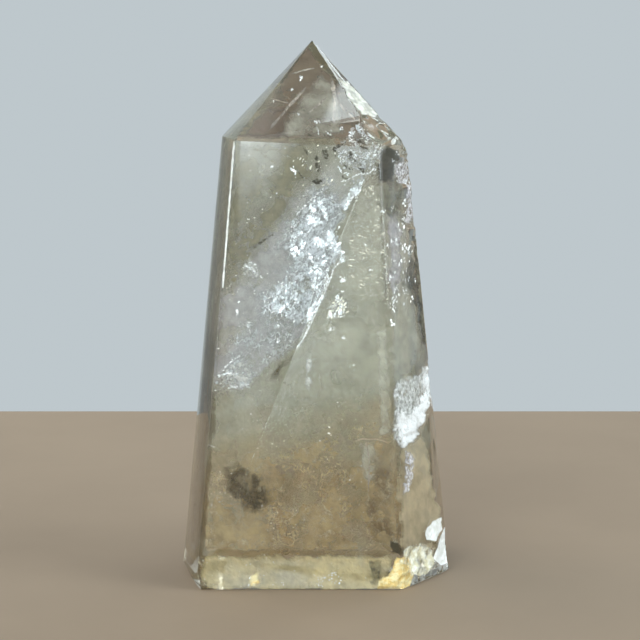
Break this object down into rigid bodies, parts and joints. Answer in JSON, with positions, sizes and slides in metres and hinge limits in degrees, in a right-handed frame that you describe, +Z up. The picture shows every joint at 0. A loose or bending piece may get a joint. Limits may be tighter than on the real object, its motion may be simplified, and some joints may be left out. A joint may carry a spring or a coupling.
{
  "type": "quartz tower",
  "caption": "Polished smoky citrine quartz tower: a tapering faceted crystal with a pointed top and patches of natural rough skin, standing on its flat cut base as a display piece.",
  "frame": {"origin": "on the flat base, under the middle of the tower's bounding box", "axes": "+Z up to the point, -Y out of the broad front face, +X towards the edge with the rough natural skin"},
  "size_m": [0.0584, 0.0414, 0.1153],
  "materials": {
    "quartz": "polished facets, hazy pale smoky citrine inside, rough natural skin on the right edge"
  },
  "bodies": {
    "root": {"quartz_tower": "quartz"}
  },
  "joints": []
}
